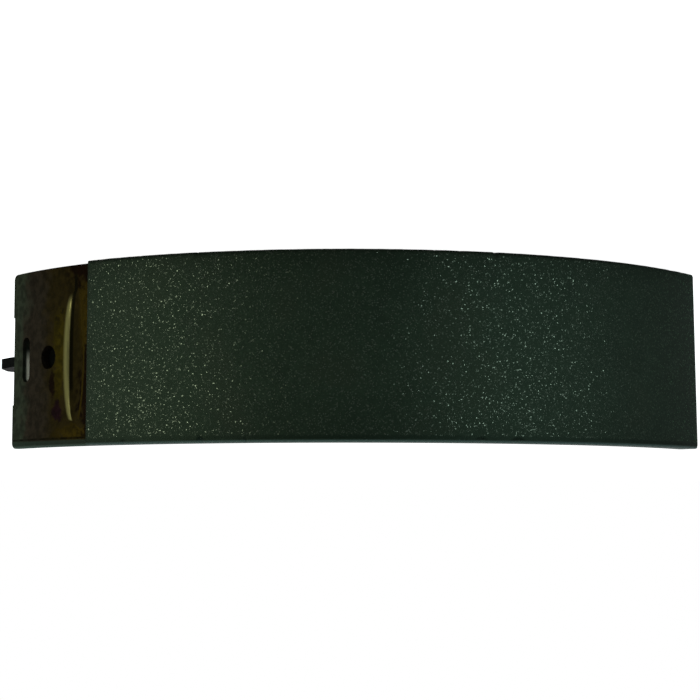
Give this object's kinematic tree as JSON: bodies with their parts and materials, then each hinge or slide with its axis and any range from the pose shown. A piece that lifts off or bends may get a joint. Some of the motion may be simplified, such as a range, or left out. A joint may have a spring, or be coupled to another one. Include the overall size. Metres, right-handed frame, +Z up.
{
  "type": "drum brake shoe",
  "caption": "Single-web drum brake shoe with a bonded friction lining, a bare table end with holes and a pressed bead, and a stamped crescent web.",
  "frame": {"origin": "on the floor, under the middle of the outline of the shoe lying on its side edge", "axes": "+Z up along the drum axis, +X towards the toe (the bare end of the table), the crown of the lining towards -Y"},
  "size_m": [0.23, 0.084, 0.0571],
  "materials": {
    "lining": "matt green-black friction composite with fine metal specks",
    "table_steel": "dark oiled steel, stained brown and olive beside the lining",
    "web_paint": "black gloss paint"
  },
  "bodies": {
    "root": {"brake_lining": "lining", "shoe_table": "table_steel", "shoe_web": "web_paint"}
  },
  "joints": []
}
